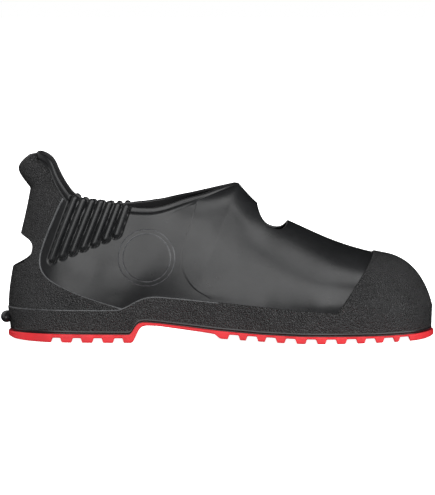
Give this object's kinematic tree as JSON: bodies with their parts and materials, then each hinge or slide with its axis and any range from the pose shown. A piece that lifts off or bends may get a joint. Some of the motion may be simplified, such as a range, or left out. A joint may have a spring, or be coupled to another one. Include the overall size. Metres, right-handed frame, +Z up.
{
  "type": "moulded overshoe",
  "caption": "Low slip-on moulded overshoe with a ribbed collar, pull tab, heel slot, instep hole, grained toe cap and heel counter, and a lugged outsole.",
  "frame": {"origin": "on the floor under the middle of the overshoe's box", "axes": "+X from heel to toe, +Y to the inner (medial) side of the foot, +Z up"},
  "size_m": [0.3254, 0.1123, 0.1402],
  "materials": {
    "smooth_black": "smooth satin",
    "grained_black": "fine pebble grain, matt",
    "tread_red": "smooth matt"
  },
  "bodies": {
    "root": {"upper": "smooth_black", "toe_cap": "grained_black", "heel_counter": "grained_black", "pull_grip": "grained_black", "boss_lateral": "smooth_black", "boss_medial": "smooth_black", "sidewall": "grained_black", "outsole": "tread_red", "kick_off_lug": "smooth_black"}
  },
  "joints": []
}
